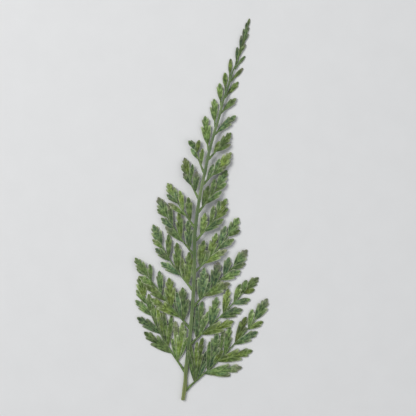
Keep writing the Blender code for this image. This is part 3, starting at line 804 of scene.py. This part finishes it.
def blade(bm, leaflet, pinna, start, side, foot_height, chance):
    """One leaflet: a grid laid between its midrib and its toothed margin, then given thickness.

    The rows of the grid run from the margin to the midrib and out again; the columns run from
    the foot to the end of the midrib, so that every tooth gets a vein of its own.
    """
    def jitter():
        return chance.uniform(-1, 1)

    margins = margins_of(leaflet, jitter)
    columns = len(margins[1]) - 1
    lean = rib_lean(pinna, leaflet.place) + leaflet.lean
    foot = rib_point(pinna, start, side, leaflet.place)
    along_way, across_way = direction(lean, side), direction(lean + 90, side)
    pitch, roll = PITCH_CHANCE * jitter(), ROLL_CHANCE * jitter()
    arch = ARCH * (1 + ARCH_CHANCE * jitter())
    cup, bend = CUP_CHANCE * jitter() + CUP, BEND_CHANCE * jitter()
    layer = LAYER_HEIGHT if leaflet.lean < 0 else -LAYER_HEIGHT
    hue, value, age = 0.5 + 0.5 * jitter(), 0.5 + 0.5 * jitter(), max(0.0, jitter()) ** 3
    hue = hue if leaflet.hue is None else leaflet.hue
    age = age if leaflet.age is None else leaflet.age
    tint = (hue, value, age, 1.0)

    midrib = []
    furthest = 0.0
    for i in range(columns + 1):
        feet = [margins[s][i][0] - VEIN_SLANT * abs(margins[s][i][1]) for s in (-1, 1)]
        furthest = max(furthest, sum(feet) / 2)
        midrib.append(furthest)

    grid = bmesh.ops.create_grid(bm, x_segments=columns, y_segments=2 * BLADE_ROWS, size=0.5)
    faces = each_once(face for vert in grid["verts"] for face in vert.link_faces)
    vein_layer = bm.loops.layers.uv["vein"]
    spot, row_of = {}, {}
    for vert in grid["verts"]:
        column = round((vert.co.x + 0.5) * columns)
        row = round((vert.co.y + 0.5) * 2 * BLADE_ROWS) - BLADE_ROWS
        out = abs(row) / BLADE_ROWS
        margin = margins[-1 if row < 0 else 1][column]
        u = midrib[column] + (margin[0] - midrib[column]) * out
        v = margin[1] * out
        spot[vert] = (column, out, u / leaflet.length)
        row_of[vert] = row
        point = foot + along_way * u + across_way * (v + bend * u * u / leaflet.length)
        place = leaflet.place + max(0.0, u * math.cos(math.radians(leaflet.lean)))
        share = min(u / leaflet.length, 1.0)
        ripple = RIPPLE_HEIGHT * math.cos(2 * math.pi * margin[2]) * out * (1 - out) * 4
        point.z = (
            rib_height(pinna, foot_height, place) + leaflet.lift * share ** LIFT_POWER + layer
            + leaflet.length * (arch * math.sin(math.pi * share) + pitch * share)
            + roll * v + cup * abs(v) + ripple
        )
        point.z = max(point.z, LOWEST_BLADE_Z)
        vert.co = point
    for face in faces:
        half = -1 if sum(row_of[vert] for vert in face.verts) < 0 else 1
        for loop in face.loops:
            column, out = spot[loop.vert][:2]
            loop[vein_layer].uv = (margins[half][column][2], out)
    tint_layer = bm.verts.layers.float_color["tint"]
    place_layer = bm.verts.layers.float_color["place"]
    for vert in grid["verts"]:
        vert[tint_layer] = tint
        vert[place_layer] = (spot[vert][2], spot[vert][1], 0.0, 1.0)
    bmesh.ops.remove_doubles(bm, verts=grid["verts"], dist=MERGE_DISTANCE)
    faces = [face for face in faces if face.is_valid]
    edges = each_once(edge for face in faces for edge in face.edges)
    verts = each_once(vert for face in faces for vert in face.verts)
    thick = bmesh.ops.extrude_face_region(bm, geom=faces + edges + verts)
    under = [item for item in thick["geom"] if isinstance(item, bmesh.types.BMVert)]
    for vert in under:
        vert[place_layer] = (vert[place_layer][0], vert[place_layer][1], 1.0, 1.0)
    bmesh.ops.translate(bm, verts=under, vec=(0, 0, -BLADE_THICKNESS))


def rib_centre(pinna, start, side, foot_height, place):
    """The middle of the rib, swept down along the stalk at its foot."""
    centre = rib_point(pinna, start, side, place)
    sweep = RIB_SWEEP * stalk_radius(pinna.stalk_y) * math.exp(-max(place, 0.0) / RIB_FOOT_LENGTH)
    centre.x -= RIB_INWARD_SWEEP * side * sweep
    centre.y -= sweep
    centre.z = rib_height(pinna, foot_height, place)
    return centre


def rib(bm, pinna, start, side, foot_height, first_place):
    """The pinna's rib: a flattened, grooved rod that tapers to its end."""
    reach = max(leaflet.place + RIB_REACH * leaflet.length for leaflet in pinna.leaflets)
    last_place = min(pinna.length, reach)
    steps = max(2, round((last_place - first_place) / RIB_STEP))
    stations = []
    for i in range(steps + 1):
        share = i / steps
        place = first_place + (last_place - first_place) * share
        centre = rib_centre(pinna, start, side, foot_height, place)
        ahead = rib_centre(pinna, start, side, foot_height, place + RIB_LOOK_AHEAD)
        taper = share ** RIB_TAPER_POWER
        half = RIB_HALF_WIDTH + (RIB_TIP_HALF_WIDTH - RIB_HALF_WIDTH) * taper
        half *= 1 + RIB_FLARE * math.exp(-max(place, 0.0) / RIB_FOOT_LENGTH)
        foot_half = RIB_FOOT_SHARE * stalk_radius(pinna.stalk_y)
        half = min(half, foot_half + RIB_FOOT_GAIN * max(place, 0.0))
        stations.append((centre, ahead - centre, half, half * RIB_FLATNESS, RIB_GROOVE_DEPTH))
    rod(bm, stations, RIB_TINT)


LEAF_BLUE_GREEN = (0.044, 0.110, 0.056)
LEAF_GREEN = (0.074, 0.148, 0.026)
LEAF_YELLOW_GREEN = (0.134, 0.194, 0.012)
LEAF_PALE = (0.250, 0.335, 0.115)
# The pale rim along each leaflet's margin is a painted highlight
LEAF_RIM_HIGHLIGHT = (0.320, 0.365, 0.215)
LEAF_UNDER = (0.170, 0.215, 0.110)
LEAF_DRY = (0.200, 0.180, 0.140)
# Dark mottles and streaks, also used as painted shade in the furrows and at each leaflet's foot
LEAF_DARK_MOTTLE_AND_SHADE = (0.014, 0.034, 0.004)
CLOUD_SCALE = 130.0
TAN_SCALE = 300.0
PATCH_SCALE = 420.0
MOTTLE_SCALE = 700.0
FLECK_SCALE = 1500.0
GRAIN_SCALE = 4200.0
# Streaks run along the veins: about how many there are across a lobe, and out to the margin
STREAKS_ACROSS = 7.0
STREAKS_ALONG = 1.6
# Leaflets take their streaks from places up to this far apart, by their hue, so they differ
STREAK_SHIFT = 40.0
VEIN_PALENESS = 0.3
# How strongly the furrows between the veins are darkened with painted shade
FURROW_PAINTED_SHADE = 0.75
UNDER_PALENESS = 0.65
VEIN_HEIGHT = 0.00022
PUCKER_HEIGHT = 0.00025
GRAIN_HEIGHT = 0.00005


def leaf_finish(name, blueness, shade_value):
    """Leaf skin: blue to yellow greens in clouds, raised paler veins, painted shade in the furrows
    between them and towards each leaflet's foot, and a painted highlight along the thin margin.
    """
    finish = Finish(name)
    coords = finish.object_coords()
    hue, value, age = finish.stored("tint")
    share, out, under = finish.stored("place")
    uv = finish.nodes.new("ShaderNodeUVMap")
    uv.uv_map = "vein"
    axes = finish.nodes.new("ShaderNodeSeparateXYZ")
    finish.links.new(uv.outputs[0], axes.inputs[0])
    tooth, spread = axes.outputs[0], axes.outputs[1]

    cloud = finish.noise(coords, CLOUD_SCALE, 3.0, 0.6)
    mottle = finish.noise(coords, MOTTLE_SCALE, 4.0, 0.65)
    grain = finish.noise(coords, GRAIN_SCALE, 3.0, 0.6)
    lane = finish.nodes.new("ShaderNodeCombineXYZ")
    shift = finish.math("MULTIPLY", hue, STREAK_SHIFT)
    finish.put(finish.math("MULTIPLY_ADD", tooth, STREAKS_ACROSS, shift), lane.inputs[0])
    finish.put(finish.math("MULTIPLY", spread, STREAKS_ALONG), lane.inputs[1])
    streaks = finish.noise(lane.outputs[0], 1.0, 3.0, 0.6)

    mood = finish.math("MULTIPLY_ADD", hue, 0.55, finish.math("MULTIPLY", cloud, 0.9))
    fresh = finish.ramp(mood, 0.4 + blueness, 0.78 + blueness)
    green = finish.mix(fresh, LEAF_BLUE_GREEN, LEAF_GREEN)
    sunny = finish.ramp(mood, 0.74 + blueness, 1.08 + blueness)
    green = finish.mix(sunny, green, LEAF_YELLOW_GREEN)
    green = finish.mix(finish.ramp(mottle, 0.48, 0.66, 0.0, 0.55), green, LEAF_PALE)
    green = finish.mix(finish.ramp(mottle, 0.34, 0.5, 0.7, 0.0), green, LEAF_DARK_MOTTLE_AND_SHADE)
    green = finish.mix(finish.ramp(streaks, 0.5, 0.66, 0.0, 0.5), green, LEAF_PALE)
    green = finish.mix(finish.ramp(streaks, 0.34, 0.5, 0.62, 0.0), green, LEAF_DARK_MOTTLE_AND_SHADE)
    # painted shade: darker towards the leaflet's foot, where it meets the rib
    green = finish.mix(finish.ramp(share, 0.0, 0.4, 0.28, 0.0), green, LEAF_DARK_MOTTLE_AND_SHADE)

    # one vein to each whole number of the tooth coordinate, narrowing towards the margin,
    # and the midrib where the spread from it is nearly nothing
    past_notch = finish.math("FRACT", finish.math("ADD", tooth, 0.5))
    off_vein = finish.math("ABSOLUTE", finish.math("SUBTRACT", past_notch, 0.5))
    vein = finish.ramp(off_vein, 0.03, 0.11, 1.0, 0.0)
    vein = finish.math("MULTIPLY", vein, finish.ramp(spread, 0.8, 0.98, 1.0, 0.0))
    midrib = finish.ramp(spread, 0.05, 0.2, 1.0, 0.0)
    veins = finish.math("MAXIMUM", vein, midrib)
    green = finish.mix(finish.math("MULTIPLY", veins, VEIN_PALENESS), green, LEAF_PALE)
    # painted shade in the furrows between the veins
    between = finish.ramp(off_vein, 0.28, 0.48)
    furrow = finish.math("MULTIPLY", between, finish.ramp(spread, 0.12, 0.5))
    green = finish.mix(finish.math("MULTIPLY", furrow, FURROW_PAINTED_SHADE), green, LEAF_DARK_MOTTLE_AND_SHADE)

    # a painted highlight along the thin margin, dry ends on old leaflets, flecks and tanned
    # places, and the paler underside
    green = finish.mix(finish.ramp(spread, 0.3, 0.9, 0.0, 0.2), green, LEAF_RIM_HIGHLIGHT)
    green = finish.mix(finish.ramp(spread, 0.76, 0.95, 0.0, 0.85), green, LEAF_RIM_HIGHLIGHT)
    ends = finish.math("MULTIPLY", finish.ramp(share, 0.5, 1.0), finish.ramp(age, 0.05, 0.7))
    ends = finish.math("MULTIPLY", ends, finish.ramp(mottle, 0.4, 0.6, 0.35, 1.0))
    green = finish.mix(ends, green, LEAF_DRY)
    flecks = finish.ramp(finish.noise(coords, FLECK_SCALE, 2.0, 0.7), 0.66, 0.72, 0.0, 0.5)
    green = finish.mix(flecks, green, LEAF_DRY)
    tanned = finish.ramp(finish.noise(coords, TAN_SCALE, 3.0, 0.6), 0.56, 0.7, 0.0, 0.3)
    green = finish.mix(tanned, green, LEAF_DRY)
    green = finish.mix(finish.math("MULTIPLY", under, UNDER_PALENESS), green, LEAF_UNDER)

    shade = finish.nodes.new("ShaderNodeHueSaturation")
    patches = finish.ramp(finish.noise(coords, PATCH_SCALE, 2.0, 0.5), 0.38, 0.62, 0.76, 1.26)
    bright = finish.math("MULTIPLY_ADD", value, 0.54, shade_value)
    finish.put(finish.math("MULTIPLY", bright, patches), shade.inputs["Value"])
    finish.put(green, shade.inputs["Color"])
    finish.put(shade.outputs[0], finish.shader.inputs["Base Color"])
    finish.put(finish.ramp(grain, 0.3, 0.7, 0.48, 0.66), finish.shader.inputs["Roughness"])
    finish.shader.inputs["Specular IOR Level"].default_value = 0.3
    ridged = finish.bump(finish.math("SUBTRACT", veins, furrow), VEIN_HEIGHT, 0.8)
    puckered = finish.bump(mottle, PUCKER_HEIGHT, 0.6, ridged)
    finish.put(finish.bump(grain, GRAIN_HEIGHT, 0.4, puckered), finish.shader.inputs["Normal"])
    return finish.material


leaf_green = leaf_finish("leaf green", blueness=0.0, shade_value=0.69)


def build_pinna(name, pinna, start, side, foot_height, first_place, material):
    """One side branch: its rib from first_place on, and the leaflets along it."""
    chance = random.Random(name)
    bm = start_mesh()
    rib(bm, pinna, start, side, foot_height, first_place)
    for leaflet in pinna.leaflets:
        blade(bm, leaflet, pinna, start, side, foot_height, chance)
    make_piece(name, bm, [material])


for label, side, pinnae in (("left", -1, LEFT_PINNAE), ("right", 1, RIGHT_PINNAE)):
    for number, pinna in enumerate(pinnae, 1):
        centre = stalk_point(pinna.stalk_y)
        ahead = stalk_point(pinna.stalk_y + 1) - centre
        edge = stalk_radius(pinna.stalk_y) / math.cos(math.atan2(ahead.x, ahead.y))
        start = Vector((centre.x + side * edge, centre.y, 0))
        name = f"pinna_{label}_{number:02d}"
        root = -RIB_ROOT * edge
        build_pinna(name, pinna, start, side, centre.z, root, leaf_green)


# --- Tip -------------------------------------------------------------------------------------
# At the top of the frond the last branches are too small to part: they run together into one
# slender, lobed tip of young, slightly bluer leaf, on the thread-like end of the stalk.

TIP_START_Y = 86.7
# The tip's rib starts this far back, inside the end of the stalk
TIP_ROOT = -1.2
FROND_TIP = Pinna(TIP_START_Y, 26.5, 19, 15, [
    Leaflet(1.3, -17, 9.0, 1.6, 1),
    Leaflet(3.5, 1, 9.0, 2.0, 1),
    Leaflet(6.4, 18, 7.0, 1.4, 1, age=0.6),
    Leaflet(8.8, -15, 8.9, 1.6, 1, age=0.5),
    Leaflet(10, 1, 8.0, 2.1, 1),
    Leaflet(13.2, 15, 6.6, 1.4, 1, age=0.5),
    Leaflet(14.8, -12, 7.2, 1.6, 1),
    Leaflet(16, 1, 7.2, 1.9, 1),
    Leaflet(18.8, 11, 4.8, 1.4, 1, age=0.5),
    Leaflet(20.6, -12, 5.3, 1.5, 1),
    Leaflet(22.6, 0, 6, 1.5, 1, age=0.4),
])

tip_green = leaf_finish("young leaf green", blueness=0.06, shade_value=0.6)
tip_foot = stalk_point(TIP_START_Y)
tip_start = Vector((tip_foot.x, tip_foot.y, 0))
build_pinna("frond_tip", FROND_TIP, tip_start, 1, tip_foot.z, TIP_ROOT, tip_green)


# --- Table, light and camera -------------------------------------------------------------------
# The frond lies on a plain pale table under a large soft lamp, with a weaker lamp on the other
# side, and the camera looks straight down on it.

# Metres, apart from the lens and its sensor in millimetres
TABLE_SIZE = 8.0
VIEW_WIDTH = 0.2496
VIEW_CENTRE = (0.0033, 0.0007)
NEAREST_SEEN = 0.01
LENS = 85.0
SENSOR = 36.0
TABLE_GREY = (0.70, 0.70, 0.69)
TABLE_PALE = (0.74, 0.74, 0.73)
TABLE_GRAIN_SCALE = 60.0
SKY_COLOUR = (0.9, 0.93, 1.0, 1.0)
SKY_STRENGTH = 0.35


def table_finish():
    """Dull pale paint that is hardly clouded."""
    finish = Finish("pale table")
    grain = finish.noise(finish.object_coords(), TABLE_GRAIN_SCALE)
    finish.put(finish.mix(grain, TABLE_GREY, TABLE_PALE), finish.shader.inputs["Base Color"])
    finish.shader.inputs["Roughness"].default_value = 0.85
    return finish.material


table_mesh = bmesh.new()
bmesh.ops.create_grid(table_mesh, x_segments=1, y_segments=1, size=TABLE_SIZE / 2)
table_data = bpy.data.meshes.new("table")
table_mesh.to_mesh(table_data)
table_mesh.free()
table_data.materials.append(table_finish())
table = bpy.data.objects.new("table", table_data)
bpy.context.collection.objects.link(table)


def soft_lamp(name, place, size, power):
    """A square lamp that faces the frond."""
    lamp = bpy.data.lights.new(name, "AREA")
    lamp.size = size
    lamp.energy = power
    stand = bpy.data.objects.new(name, lamp)
    bpy.context.collection.objects.link(stand)
    stand.location = place
    stand.rotation_euler = Vector(place).to_track_quat("Z", "Y").to_euler()


soft_lamp("main_lamp", place=(-0.7, 0.5, 1.1), size=0.7, power=14.0)
soft_lamp("side_lamp", place=(0.9, -0.4, 0.9), size=1.2, power=4.0)

world = bpy.data.worlds.new("studio")
world.use_nodes = True
sky = world.node_tree.nodes["Background"]
sky.inputs["Color"].default_value = SKY_COLOUR
sky.inputs["Strength"].default_value = SKY_STRENGTH
bpy.context.scene.world = world

lens = bpy.data.cameras.new("camera")
lens.lens = LENS
lens.sensor_width = SENSOR
lens.clip_start = NEAREST_SEEN
camera = bpy.data.objects.new("camera", lens)
camera.location = (*VIEW_CENTRE, VIEW_WIDTH * LENS / SENSOR)
bpy.context.collection.objects.link(camera)
bpy.context.scene.camera = camera
bpy.context.scene.view_settings.view_transform = "Standard"
